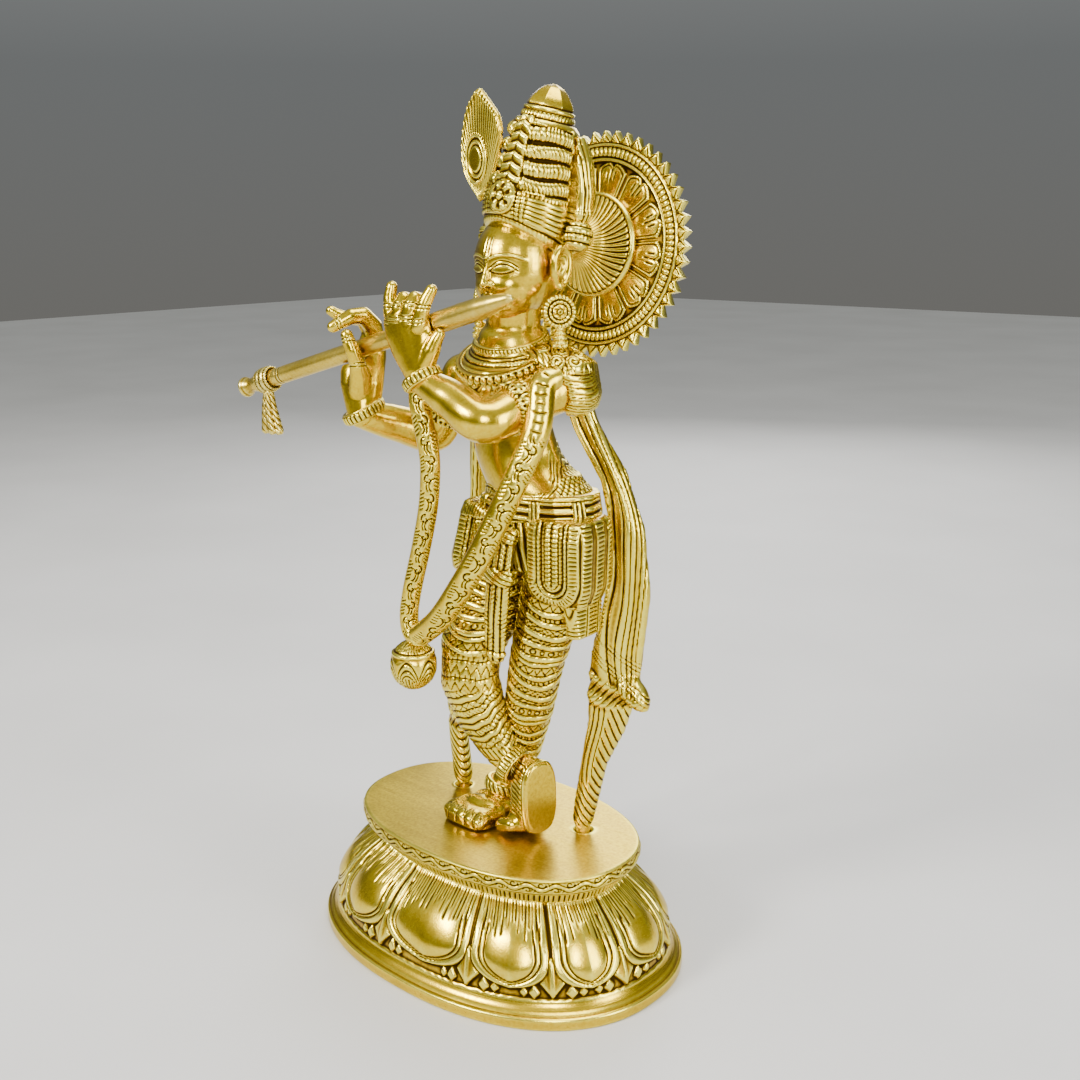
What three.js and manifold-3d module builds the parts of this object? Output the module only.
// A brass statue of a standing flute player on an oval lotus pedestal, as the castings
// and fasteners that it is assembled from. Millimetres, +Z up, the figure faces -Y and
// its left hand is towards +X. Each casting is brazed, pegged or screwed to the next;
// only the flute is loose, and it draws out of the hands along its own axis.
import * as THREE from "three";
import { mergeVertices } from "three/addons/utils/BufferGeometryUtils.js";
import Module from "manifold-3d";

const wasm = await Module();
wasm.setup();

// ---------------------------------------------------------------- driving dimensions
const BASE_HALF_LENGTH = 76; // along X at the foot of the pedestal
const BASE_HALF_WIDTH = 54; // along Y at the foot of the pedestal
const OVAL_POWER = 2.25; // 2 would be an ellipse; a little more squares the ends
const DECK_HALF_LENGTH = 60.3;
const DECK_TOP = 48;
const SEAM_Z = 36; // where the deck casting sits on the lotus casting
const WALL = 3;
const RIM_WIDTH = 4.5; // the flat underside that the pedestal rests on
const GAP = 0.3; // clearance left between neighbouring castings
const FLUTE_TIP = [30.5, -20, 245.6];
const FLUTE_END = [-97, -34.5, 207.6];
const FLUTE_RADIUS = 3.3;
const FLUTE_MOUTH_RADIUS = 3.9;
const FLUTE_PLAY = 0.45; // loose fit of the flute in the hands
const HALO_CENTRE = [22.6, 32, 260.5];
const HALO_RADIUS = 38.6;
const HALO_TEETH = 48;
const HALO_LEAN = THREE.MathUtils.degToRad(6);
const CROWN_FOOT = [14, 4.5, 267.5];
const CROWN_TIP = [22.8, 10, 312.7];
const PEG_RADIUS = 2.6;
const PEG_HOLE_RADIUS = 3.2;
const TAIL_FEET = { left: [32.5, 12.5], right: [-29.5, 11.5] };
const STUD = [-3, 3]; // the threaded stud under the standing foot

// ---------------------------------------------------------------- materials
const smooth = new THREE.MeshStandardMaterial({ color: 0xd0a548, metalness: 1, roughness: 0.28 });
const chased = new THREE.MeshStandardMaterial({ color: 0xbd9440, metalness: 1, roughness: 0.36 });
const paleBrass = new THREE.MeshStandardMaterial({ color: 0xcdb073, metalness: 1, roughness: 0.38 });
const steel = new THREE.MeshStandardMaterial({ color: 0x8d8f92, metalness: 1, roughness: 0.45 });

// ---------------------------------------------------------------- solids from geometry
function solidOf(geometry) {
  const bare = geometry.clone();
  bare.deleteAttribute("normal");
  bare.deleteAttribute("uv");
  const merged = mergeVertices(bare, 1e-4);
  const index = merged.index.array;
  const kept = [];
  for (let i = 0; i < index.length; i += 3) {
    const [a, b, c] = index.slice(i, i + 3);
    if (a !== b && b !== c && c !== a) kept.push(a, b, c);
  }
  const vertProperties = new Float32Array(merged.attributes.position.array);
  const build = (triVerts) => new wasm.Manifold(new wasm.Mesh({ numProp: 3, vertProperties, triVerts }));
  const solid = build(new Uint32Array(kept));
  return solid.volume() > 0 ? solid : build(new Uint32Array(kept.reverse()));
}

function geometryOf(solid) {
  const { vertProperties, triVerts } = solid.getMesh();
  const geometry = new THREE.BufferGeometry();
  geometry.setAttribute("position", new THREE.BufferAttribute(vertProperties, 3));
  geometry.setIndex(new THREE.BufferAttribute(triVerts, 1));
  geometry.computeVertexNormals();
  return geometry;
}

function mapPoints(geometry, place) {
  const position = geometry.attributes.position;
  const point = new THREE.Vector3();
  for (let i = 0; i < position.count; i++) {
    place(point.fromBufferAttribute(position, i));
    position.setXYZ(i, point.x, point.y, point.z);
  }
  return geometry;
}

const union = (...solids) => solids.reduce((whole, solid) => whole.add(solid));

// ---------------------------------------------------------------- shape builders
// A closed skin over oval stations [x, y, z, half width, half depth], with the width laid
// along `across`. A power over 2 squares the ovals. grow fattens the skin all over, to cut
// room for it in another casting.
function loft(stations, { across = [1, 0, 0], sides = 10, caps = "round", power = 2, grow = 0 } = {}) {
  const centres = stations.map(([x, y, z]) => new THREE.Vector3(x, y, z));
  const last = centres.length - 1;
  const rings = stations.map(([, , , wide, deep = wide], i) => {
    const along = centres[Math.min(i + 1, last)].clone().sub(centres[Math.max(i - 1, 0)]).normalize();
    const side = new THREE.Vector3(...across);
    side.addScaledVector(along, -side.dot(along)).normalize();
    const front = new THREE.Vector3().crossVectors(along, side);
    return { centre: centres[i], along, side, front, wide: wide + grow, deep: deep + grow };
  });
  const cap = (ring, sign) => {
    const reach = caps === "round" ? Math.min(ring.wide, ring.deep) : grow;
    const ringAt = (share, scale) => ({
      ...ring,
      centre: ring.centre.clone().addScaledVector(ring.along, sign * reach * share),
      wide: ring.wide * scale,
      deep: ring.deep * scale,
    });
    const shoulder = 0.7;
    const made = caps === "round" ? [ringAt(shoulder, Math.sqrt(1 - shoulder ** 2))] : [];
    if (caps !== "round" && grow > 0) made.push(ringAt(1, 1));
    return [...made, ringAt(1, 0)];
  };
  const rows = [...cap(rings[0], -1).reverse(), ...rings, ...cap(rings[last], 1)];
  const profile = rows.map((row, i) => new THREE.Vector2(row.wide > 0 ? 1 : 0, i));
  const skin = new THREE.LatheGeometry(profile, sides);
  const squared = (value) => Math.sign(value) * Math.abs(value) ** (2 / power);
  return solidOf(
    mapPoints(skin, (p) => {
      const row = rows[Math.round(p.y)];
      const angle = Math.atan2(p.x, p.z);
      p.copy(row.centre)
        .addScaledVector(row.side, row.wide * squared(Math.cos(angle)))
        .addScaledVector(row.front, row.deep * squared(Math.sin(angle)));
    }),
  );
}

function ellipsoid([x, y, z], [rx, ry, rz], grow = 0, sides = 12) {
  const ball = new THREE.SphereGeometry(1, sides, Math.round(sides * 0.6));
  ball.rotateX(Math.PI / 2);
  ball.scale(rx + grow, ry + grow, rz + grow);
  ball.translate(x, y, z);
  return solidOf(ball);
}

// A solid of revolution about the line from `foot` towards `tip`; profile is [radius, height].
function turned(profile, foot, tip, sides = 20) {
  const shape = new THREE.LatheGeometry(profile.map(([r, h]) => new THREE.Vector2(r, h)), sides);
  const axis = new THREE.Vector3(...tip).sub(new THREE.Vector3(...foot)).normalize();
  shape.applyQuaternion(new THREE.Quaternion().setFromUnitVectors(new THREE.Vector3(0, 1, 0), axis));
  shape.translate(...foot);
  return solidOf(shape);
}

const pin = (foot, tip, radius, sides = 12) => {
  const length = new THREE.Vector3(...tip).distanceTo(new THREE.Vector3(...foot));
  return turned([[0, 0], [radius, 0], [radius, length], [0, length]], foot, tip, sides);
};

// A ring worn on a limb: a band of half thickness `thick` around `centre`, across `axis`.
function band(centre, axis, radius, thick, height, grow = 0, sides = 16) {
  const foot = new THREE.Vector3(...centre);
  const tip = foot.clone().add(new THREE.Vector3(...axis));
  const [low, high] = [-height / 2 - grow, height / 2 + grow];
  const [inner, outer] = [radius - thick - grow, radius + thick + grow];
  const bevel = Math.min(thick, height / 2) * 0.6;
  return turned(
    [
      [inner, low], [outer - bevel, low], [outer, (low + high) / 2],
      [outer - bevel, high], [inner, high], [inner, low],
    ],
    foot.toArray(), tip.toArray(), sides,
  );
}

// Turned about Z, then drawn out along X so that every level is an oval of the pedestal.
function ovalTurned(profile, sides = 36) {
  const shape = new THREE.LatheGeometry(profile.map(([r, z]) => new THREE.Vector2(r, z)), sides);
  const flat = BASE_HALF_LENGTH - BASE_HALF_WIDTH;
  const narrowest = 44;
  return solidOf(
    mapPoints(shape, (p) => {
      const radius = Math.hypot(p.x, p.z);
      const width = (Math.max(radius, narrowest) - flat) / Math.max(radius, narrowest);
      const [c, s] = radius ? [p.x / radius, p.z / radius] : [0, 0];
      const squared = (value) => Math.sign(value) * Math.abs(value) ** (2 / OVAL_POWER);
      p.set(radius * squared(c), radius * width * squared(s), p.y);
    }),
  );
}

// ---------------------------------------------------------------- assembly bookkeeping
const statue = new THREE.Group();
const placed = [];

// Adds one casting. Castings added earlier keep their shape: a later one is cut back
// from them by GAP, and of what is left only its main body stays.
function part(name, material, build, clearance = build) {
  let solid = build(0);
  for (const other of placed) {
    if (solid.intersect(other.room).volume() > 0) solid = solid.subtract(other.room);
  }
  const bodies = solid.decompose().sort((a, b) => b.volume() - a.volume());
  const mesh = new THREE.Mesh(geometryOf(bodies[0]), material);
  mesh.name = name;
  statue.add(mesh);
  placed.push({ name, room: clearance(GAP) });
}

// ---------------------------------------------------------------- pedestal
part("lotus_base", chased, (grow) => {
  const rim = BASE_HALF_LENGTH + grow;
  const rimInside = BASE_HALF_LENGTH - RIM_WIDTH - grow;
  const petals = [[73.6, 4.8], [72.4, 7.6], [70.6, 13], [68.4, 20], [63.4, 28], [57.6, 33.6]];
  return ovalTurned([
    [rim, 0], [rim, 3.4], ...petals.map(([r, z]) => [r + grow, z]),
    [55 + grow, SEAM_Z + grow], [48 - grow, SEAM_Z + grow], [48 - grow, SEAM_Z - WALL],
    [60, 26], [67, 12], [rimInside, 5], [rimInside, 0], [rim, 0],
  ]);
});

part("pedestal_deck", smooth, (grow) => {
  const skirt = 54.6;
  const plate = ovalTurned([
    [0, DECK_TOP - WALL - grow], [skirt - WALL - grow, DECK_TOP - WALL - grow],
    [skirt - WALL - grow, SEAM_Z + GAP - grow], [skirt + grow, SEAM_Z + GAP - grow],
    [skirt + 2 + grow, 41], [DECK_HALF_LENGTH - 0.7 + grow, 41.8],
    [DECK_HALF_LENGTH + grow, DECK_TOP - 0.8], [DECK_HALF_LENGTH - 0.8 + grow, DECK_TOP + grow],
    [0, DECK_TOP + grow],
  ]);
  const holes = [...Object.values(TAIL_FEET), STUD].map(([x, y]) =>
    pin([x, y, 30], [x, y, DECK_TOP + 2], PEG_HOLE_RADIUS - grow),
  );
  return plate.subtract(union(...holes));
});

const WASHER_THICK = 1.2;
const NUT_THICK = 4;
const washerZ = DECK_TOP - WALL - GAP - WASHER_THICK / 2;
const nutZ = washerZ - WASHER_THICK / 2 - GAP - NUT_THICK / 2;
part("foot_stud", steel, (grow) => pin([...STUD, nutZ - 6 - grow], [...STUD, 56 + grow], 2.5 + grow));
part("foot_washer", steel, (grow) => band([...STUD, washerZ], [0, 0, 1], 4.1, 1.2, WASHER_THICK, grow));
part("foot_nut", steel, (grow) => band([...STUD, nutZ], [0, 0, 1], 3.7, 0.8, NUT_THICK, grow, 6));

// ---------------------------------------------------------------- flute
const fluteTip = new THREE.Vector3(...FLUTE_TIP);
const fluteAxis = new THREE.Vector3(...FLUTE_END).sub(fluteTip).normalize();
const fluteLength = new THREE.Vector3(...FLUTE_END).distanceTo(fluteTip);
const onFlute = (distance) => fluteTip.clone().addScaledVector(fluteAxis, distance).toArray();
const KNOT_AT = fluteLength - 14; // the tassel's knot, measured from the tip

part(
  "flute_rod",
  paleBrass,
  () =>
    turned(
      [
        [0, 0], [1.2, 0.6], [3.2, 8], [FLUTE_MOUTH_RADIUS, 14], [FLUTE_MOUTH_RADIUS, 30],
        [FLUTE_RADIUS, 52], [FLUTE_RADIUS, KNOT_AT + 6.5], [2.3, KNOT_AT + 9.2],
        [4.1, KNOT_AT + 12.4], [3.4, fluteLength], [0, fluteLength],
      ],
      FLUTE_TIP, FLUTE_END, 12,
    ),
  (grow) => pin(onFlute(-1), onFlute(fluteLength + 1), FLUTE_MOUTH_RADIUS + FLUTE_PLAY + grow, 14),
);
part("flute_tassel", paleBrass, (grow) => {
  const [x, y, z] = onFlute(KNOT_AT);
  const bore = pin(onFlute(0), onFlute(fluteLength), FLUTE_RADIUS + GAP, 12);
  const knot = pin(onFlute(KNOT_AT - 3.5 - grow), onFlute(KNOT_AT + 3.5 + grow), 4.9 + grow);
  const strands = loft(
    [[x + 0.6, y - 0.6, z - 3, 2.6], [x + 1.2, y - 0.6, z - 10, 3.3], [x + 2.2, y - 0.6, z - 21, 4.4]],
    { grow, caps: "flat" },
  );
  return union(knot, strands).subtract(bore);
});

// ---------------------------------------------------------------- head
part("head", smooth, (grow) =>
  union(
    ellipsoid([11.5, 3, 255], [14.6, 15.6, 17.4], grow, 16),
    ellipsoid([11, -1.5, 246.5], [11, 11.6, 9.8], grow, 12),
  ),
);
part("neck", smooth, (grow) =>
  loft([[6.4, 5, 224, 11.4, 10.6], [8, 4.4, 232, 9.2], [10, 4.4, 241, 9]], { grow, caps: "flat" }),
);
for (const [side, x, z] of [["left", 28.2, 254.2], ["right", -4.2, 255.4]]) {
  const out = side === "left" ? 1 : -1;
  part(`ear_${side}`, smooth, (grow) => ellipsoid([x, 5, z], [2.8, 4.4, 7.4], grow, 10));
  part(`earring_${side}`, chased, (grow) =>
    union(
      turned(
        [[0, -2 - grow], [6.3 + grow, -1.6 - grow], [6.3 + grow, 1.6 + grow], [0, 2 + grow]],
        [x + out * 2, 3, z - 14.2], [x + out * 5, 1, z - 14.2], 14,
      ),
      loft(
        [[x + out * 2.4, 3, z - 17, 2], [x + out * 2.8, 2.6, z - 22, 2.6], [x + out * 3, 2.6, z - 25, 1.2]],
        { grow, sides: 8 },
      ),
    ),
  );
}

// ---------------------------------------------------------------- crown, halo, feather
part("crown", chased, (grow) =>
  turned(
    [
      [0, -grow], [16.4 + grow, -grow], [17 + grow, 4], [15.6 + grow, 9], [14.2 + grow, 14],
      [13.2 + grow, 20], [12.4 + grow, 26], [11.2 + grow, 32], [9 + grow, 35.4], [8 + grow, 38.6],
      [7.4 + grow, 40.4], [5 + grow, 43.4], [0, 46.2 + grow],
    ],
    CROWN_FOOT, CROWN_TIP, 18,
  ),
);
for (const [side, x, lean] of [["left", 32, 1], ["right", -6.6, -0.4]]) {
  part(`hair_knot_${side}`, chased, (grow) => ellipsoid([x, 10.5, 264], [5, 5.4, 5.2], grow, 10));
  part(`crown_ribbon_${side}`, chased, (grow) =>
    loft(
      [
        [x + 1.5, 11.5, 269.5, 1.8, 3.4], [x + 1.6 + lean, 12, 278, 1.9, 4],
        [x + 0.6 + lean, 12.5, 287, 1.7, 3.8], [x - 2.6 + 2 * lean, 13, 294.5, 1.3, 2.6],
      ],
      { grow, sides: 8 },
    ),
  );
}

const haloFrame = new THREE.Quaternion().setFromEuler(new THREE.Euler(Math.PI / 2 - HALO_LEAN, 0, 0));
const haloPoint = (x, y, z) =>
  new THREE.Vector3(x, y, z).applyQuaternion(haloFrame).add(new THREE.Vector3(...HALO_CENTRE)).toArray();
part("halo_screw", steel, (grow) =>
  union(
    pin(haloPoint(0, 0, -5.6 - grow), haloPoint(0, 0, -3 + grow), 3.8 + grow),
    pin(haloPoint(0, 0, -3.2), haloPoint(0, 0, 14 + grow), 1.8 + grow, 8),
  ),
);
part("halo_disc", chased, (grow) => {
  const rim = new THREE.Shape();
  for (let i = 0; i < 2 * HALO_TEETH; i++) {
    const angle = (Math.PI * i) / HALO_TEETH;
    const radius = HALO_RADIUS + grow - (i % 2 ? 3.2 : 0);
    rim[i ? "lineTo" : "moveTo"](radius * Math.cos(angle), radius * Math.sin(angle));
  }
  rim.closePath();
  const plate = new THREE.ExtrudeGeometry(rim, { depth: 2.6 + 2 * grow, bevelEnabled: false });
  plate.translate(0, 0, -2.8 - grow);
  plate.applyQuaternion(haloFrame);
  plate.translate(...HALO_CENTRE);
  return solidOf(plate);
});
part("halo_trumpet", chased, (grow) =>
  turned(
    [
      [0, 0.2 - grow], [16 + grow, 0.2 - grow], [17.6 + grow, 2.6], [16.6 + grow, 3.6 + grow],
      [9 + grow, 6.5 + grow], [6 + grow, 10], [5 + grow, 15 + grow], [0, 15 + grow],
    ],
    haloPoint(0, 0, 0), haloPoint(0, 0, 1), 24,
  ),
);

const FEATHER_THICK = 3.2;
part("peacock_feather", chased, (grow) => {
  const half = (sign) => [
    new THREE.Vector2(sign * (10.4 + grow), 13),
    new THREE.Vector2(sign * (7.8 + grow), 27),
  ];
  const outline = new THREE.Shape();
  outline.moveTo(0, -1 - grow);
  outline.splineThru([...half(1), new THREE.Vector2(0, 37 + grow)]);
  outline.splineThru([...half(-1).reverse(), new THREE.Vector2(0, -1 - grow)]);
  const leaf = new THREE.ExtrudeGeometry(outline, {
    depth: FEATHER_THICK + 2 * grow, bevelEnabled: false, curveSegments: 5,
  });
  leaf.translate(0, 0, -FEATHER_THICK / 2 - grow);
  leaf.rotateX(Math.PI / 2);
  leaf.rotateZ(THREE.MathUtils.degToRad(-8));
  leaf.rotateY(THREE.MathUtils.degToRad(-8));
  leaf.translate(4, -3.5, 275);
  return solidOf(leaf);
});

// ---------------------------------------------------------------- trunk
part("collar_necklace", chased, (grow) =>
  band([7.4, 3.6, 228.6], [0.1, -0.26, 1], 12.2, 1.5, 3.4, grow, 20),
);
part("beaded_necklace", chased, (grow) =>
  band([7, 0.4, 223.6], [0.08, -0.42, 0.9], 15.8, 1.3, 3, grow, 20),
);
part("chest_pendant", chased, (grow) =>
  loft(
    [[6.6, -8, 219, 7.4, 2.4], [7.2, -10.4, 213, 5.4, 2.2], [7.6, -11.2, 207.4, 1.8, 1.6]],
    { grow, sides: 8 },
  ),
);
part("torso", smooth, (grow) =>
  loft(
    [
      [19.5, 5, 163, 17, 12], [18.5, 5, 173, 17.4, 12.4], [13, 3.8, 187, 14.4, 11],
      [8.6, 3, 200, 14.6, 11.2], [7.4, 3.2, 210, 19.4, 12.4], [6.8, 4, 217, 19.6, 11],
      [6.2, 4.6, 224, 13, 9.4],
    ],
    { grow, sides: 14, caps: "flat" },
  ),
);
part("hip_wrap", chased, (grow) =>
  loft(
    [
      [19, 4, 150, 22, 14.4], [19.6, 4.6, 160, 23, 15],
      [19.4, 5, 169, 21.6, 14.4], [17.4, 5.4, 182, 18, 12.8],
    ],
    { grow, sides: 16, caps: "flat" },
  ),
);
part("waist_belt", chased, (grow) => {
  const shell = loft(
    [[19.6, 4.6, 168, 24.8, 17.2], [18.8, 4.8, 176.5, 23.8, 16.6]],
    { grow, sides: 16, caps: "flat" },
  );
  const bore = loft(
    [[19.8, 4.6, 160, 20.2, 12.6], [18.6, 4.8, 184, 18.4, 11.4]],
    { grow: -grow, sides: 16, caps: "flat" },
  );
  return shell.subtract(bore);
});

// ---------------------------------------------------------------- legs and feet
part("left_leg", chased, (grow) =>
  loft(
    [
      [29, 4.6, 152, 12.2, 12.4], [24.6, 3, 134, 11.2], [19.4, 2, 114, 9.6], [13.4, 4, 94, 8.8],
      [7.6, 6.4, 76, 6.8], [3, 8, 66, 5.2],
    ],
    { grow, sides: 12, caps: "flat" },
  ),
);
part("right_leg", chased, (grow) =>
  loft(
    [
      [7, 1, 151, 12.4, 12], [3.4, -4, 136, 12.2], [-1.4, -10, 119, 11.4], [-0.8, -12, 107, 10.8],
      [2.8, -9.8, 93, 9], [8, -7, 82, 6.6], [11.6, -5.8, 75.6, 5],
    ],
    { grow, sides: 12, caps: "flat" },
  ),
);
part("left_foot", smooth, (grow) =>
  union(
    loft(
      [
        [-1.4, 11.4, 53.6, 6, 5.2], [-1.8, 2, 53.6, 7.6, 5.2], [-3, -9, 52, 9.2, 3.6],
        [-3.4, -15.6, 51, 9.6, 2.6],
      ],
      { grow, sides: 12, power: 3 },
    ),
    loft([[0.4, 8.4, 57, 5], [2.8, 8, 65.6, 5]], { grow, caps: "flat" }),
  ),
);
part("left_anklet", chased, (grow) => band([0.8, 7.6, 60.6], [0.22, 0.14, 1], 6.4, 1.2, 4, grow));
part("right_foot", smooth, (grow) => {
  const sole = { grow, across: [0.98, 0.18, 0], power: 3 };
  return union(
    loft(
      [
        [20.6, -3.8, 70.6, 4.8, 5.4], [21, -3, 64, 4.8, 6.6],
        [20.6, -2, 57, 4.4, 7.4], [19.6, -1.4, 52.4, 4.2, 7.6],
      ],
      sole,
    ),
    loft([[19, -2, 50.8, 2.3, 7.4], [13, -4.4, 50.6, 2.1, 7]], { grow, across: [0, 0, 1], power: 3 }),
    loft([[19, -4, 71, 4.9], [12.8, -5.4, 75, 4.9]], { grow, caps: "flat", across: [0, 1, 0] }),
  );
});
part("right_anklet", chased, (grow) => band([14, -5.6, 75], [1, 0.1, -0.5], 6.2, 1.2, 4.6, grow));

// ---------------------------------------------------------------- hanging cloth at the hips
part("left_hip_panel", chased, (grow) =>
  union(
    loft(
      [
        [38.6, -1.6, 171.6, 11, 10.4], [38.6, -1.6, 166, 12, 11.6],
        [38.2, -1.8, 148, 11.8, 11.4], [37.6, -1.4, 143.6, 10.4, 9.6],
      ],
      { grow, sides: 16, caps: "flat", power: 5, across: [0.99, 0.14, 0] },
    ),
    loft([[39.8, 3, 147, 3.4, 9], [39.6, 4.6, 128.4, 2.8, 7]], { grow, sides: 8, caps: "flat", power: 4 }),
  ),
);
part("right_hip_panel", chased, (grow) =>
  loft(
    [
      [4, -1.5, 171, 8, 9.6], [2.4, -2.4, 164, 9, 10.4],
      [-0.4, -4, 150, 9.4, 10.8], [-1, -4.6, 145.6, 8.4, 9.4],
    ],
    { grow, sides: 16, caps: "flat", power: 4 },
  ),
);
part("centre_drape", chased, (grow) =>
  loft(
    [
      [19.4, -13.4, 166.6, 5, 2.4], [18.4, -15.4, 152, 5.4, 2.6],
      [16.4, -15.4, 136, 4.6, 2.6], [14, -14, 118, 3.4, 2.2],
    ],
    { grow, sides: 8, caps: "flat" },
  ),
);

// ---------------------------------------------------------------- shoulders and arms
const LEFT = { shoulder: [30.6, 6, 214.6], elbow: [22.6, -25.6, 205.6], wrist: [-2.6, -28.6, 216.6] };
const RIGHT = { shoulder: [-17.6, 5, 214.6], elbow: [-27.6, -1, 193], wrist: [-35.4, -26.6, 202] };
const between = (a, b, share) => a.map((value, i) => value + (b[i] - value) * share);

part("left_upper_arm", smooth, (grow) =>
  loft(
    [[...LEFT.shoulder, 8], [...between(LEFT.shoulder, LEFT.elbow, 0.5), 7.8], [...LEFT.elbow, 7.7]],
    { grow, across: [0, 0, 1] },
  ),
);
part("shoulder_shawl", chased, (grow) =>
  loft(
    [[17, 5.6, 226, 9, 3.2], [25, 6.2, 224.4, 11, 4.6], [33.4, 7, 219, 11, 7.2], [35, 8, 210.6, 9.8, 6.4]],
    { grow, across: [0, 1, 0] },
  ),
);
part("left_forearm", smooth, (grow) =>
  loft(
    [[...LEFT.elbow, 7.4], [...between(LEFT.elbow, LEFT.wrist, 0.5), 6.8], [...LEFT.wrist, 4.8]],
    { grow, across: [0, 0, 1], caps: "flat" },
  ),
);
part("right_upper_arm", smooth, (grow) =>
  loft(
    [[...RIGHT.shoulder, 8], [...between(RIGHT.shoulder, RIGHT.elbow, 0.5), 7.2], [...RIGHT.elbow, 6.8]],
    { grow, across: [0, 1, 0] },
  ),
);
part("right_forearm", smooth, (grow) =>
  loft(
    [[...RIGHT.elbow, 6.6], [...between(RIGHT.elbow, RIGHT.wrist, 0.5), 6.4], [...RIGHT.wrist, 5.4]],
    { grow, caps: "flat" },
  ),
);
for (const [side, arm] of [["left", LEFT], ["right", RIGHT]]) {
  const upper = arm.elbow.map((value, i) => value - arm.shoulder[i]);
  part(`armlet_${side}`, chased, (grow) =>
    band(between(arm.shoulder, arm.elbow, 0.62), upper, 8.2, 1.2, 6.4, grow, 14),
  );
}

// ---------------------------------------------------------------- hands on the flute
const finger = (points, radius, grow) =>
  loft(points.map((point) => [...point, radius]), { grow, sides: 7, across: [0.2, 1, 0.1] });

part("left_hand", smooth, (grow) => {
  const palm = loft(
    [[-3.4, -29, 220, 4.8, 3.8], [-6, -30.6, 227, 7.4, 3.6], [-9, -31, 236, 8, 3]],
    { grow },
  );
  const fingers = [
    [[-15.4, -30.6, 238], [-16.8, -29.8, 243], [-16, -28.6, 248.6]],
    [[-11.4, -31, 239], [-11.8, -29, 244.4], [-11.6, -25, 244]],
    [[-7.2, -31, 239], [-7.4, -28.6, 244.6], [-7.2, -24.6, 244]],
    [[-3.2, -30.6, 238], [-1.4, -28.6, 243.4], [1.6, -26.6, 248]],
    [[-1.2, -28.6, 229], [1.6, -24.6, 228.6], [2.4, -20.6, 229.6]],
  ].map((points) => finger(points, 1.9, grow));
  return union(palm, ...fingers);
});
part("right_hand", smooth, (grow) => {
  const palm = loft(
    [
      [-35.8, -27.4, 206, 5.6, 4.6], [-38.6, -26, 214, 7.2, 4.4],
      [-35.6, -21.6, 223, 6, 4], [-34.4, -19.4, 230, 4.6, 3.2],
    ],
    { grow },
  );
  const fingers = [
    [[-36, -19.4, 230], [-37, -21.6, 235.6], [-42, -27, 237], [-49.4, -30, 237.4]],
    [[-33, -19.4, 231], [-33.4, -22, 237.2], [-39, -29, 238.4], [-47.6, -32.6, 232.6]],
    [[-38.4, -30, 215], [-39, -33.4, 222], [-39.6, -33.8, 231]],
  ].map((points) => finger(points, 2.2, grow));
  return union(palm, ...fingers);
});
part("bangle_left", chased, (grow) => band([-3.4, -28.8, 217.8], [-0.5, -0.1, 0.86], 6.2, 1.2, 3.4, grow));
part("bangle_right", chased, (grow) =>
  band([-35.8, -27.4, 203.6], [-0.25, -0.3, 0.92], 6.9, 1.3, 3.6, grow),
);

// ---------------------------------------------------------------- garland
part("garland_pendant", chased, (grow) => ellipsoid([-13, -28.4, 114], [8.8, 8.8, 9.4], grow));
part("garland_left_strand", chased, (grow) =>
  loft(
    [
      [33.6, -11, 218, 5, 3], [37.6, -16, 203, 4.8, 3], [32.4, -23.4, 184, 4.2, 3], [22, -29, 160, 3.8, 3],
      [8, -31, 139.4, 3.8, 3], [-0.6, -30.4, 130.6, 3.8, 3], [-8.6, -29.4, 126.6, 3.6, 3],
    ],
    { grow, across: [0.74, 0.67, 0] },
  ),
);
part("garland_right_strand", chased, (grow) =>
  loft(
    [
      [-5.6, -29, 211, 3.4, 3], [-1.4, -28, 193, 3.4, 3], [-2.8, -27.4, 176, 3.4, 3],
      [-7.6, -28, 158, 3.4, 3], [-13.4, -28.6, 138, 3.6, 3], [-14.6, -29, 129.6, 3.6, 3],
    ],
    { grow, across: [0.74, 0.67, 0] },
  ),
);

// ---------------------------------------------------------------- sash tails, pegged in the deck
const peg = ([x, y], grow) => pin([x, y, 41 - grow], [x, y, DECK_TOP + 4], PEG_RADIUS + grow);
part("sash_left_tail", chased, (grow) =>
  union(
    peg(TAIL_FEET.left, grow),
    loft(
      [
        [29, 14, 209, 4.6, 3], [32, 15.4, 199, 4.6, 3],
        [42.6, 17.4, 183.4, 5, 3.2], [48.4, 18.4, 164, 6.2, 3.6],
        [48.2, 18.4, 141, 8.2, 4], [44.4, 17.4, 120, 9.4, 4.2],
        [43, 17, 106, 9.6, 4.2], [40.4, 16.6, 91, 7.4, 3.8],
        [36, 15, 76, 5, 3.8], [33.8, 13.6, 62, 4.6, 3.8], [...TAIL_FEET.left, 52.4, 4, 3.8],
      ],
      { grow, across: [0.88, 0.47, 0] },
    ),
    loft([[48, 18, 108, 4.6], [54, 18.6, 103, 4.4]], { grow, sides: 8, across: [0, 1, 0] }),
  ),
);
part("sash_right_tail", chased, (grow) =>
  union(
    peg(TAIL_FEET.right, grow),
    loft(
      [
        [-17, 14, 207, 4.4, 3], [-20, 14.4, 190, 4.8, 3], [-21.6, 15.4, 168, 5.4, 3.4],
        [-24.4, 15.6, 146, 6.4, 3.8], [-27.6, 15, 124, 7.4, 4], [-30.6, 14.4, 104, 7.6, 4],
        [-33, 13.4, 86, 7, 4], [-32.4, 12.4, 68, 5.4, 3.8], [...TAIL_FEET.right, 52.4, 4.6, 3.8],
      ],
      { grow, across: [0.88, -0.47, 0] },
    ),
  ),
);

// The frame's origin is the middle of the bounding box's underside.
const bounds = new THREE.Box3().setFromObject(statue);
const middle = bounds.getCenter(new THREE.Vector3());
statue.position.set(-middle.x, -middle.y, -bounds.min.z);

export default statue;
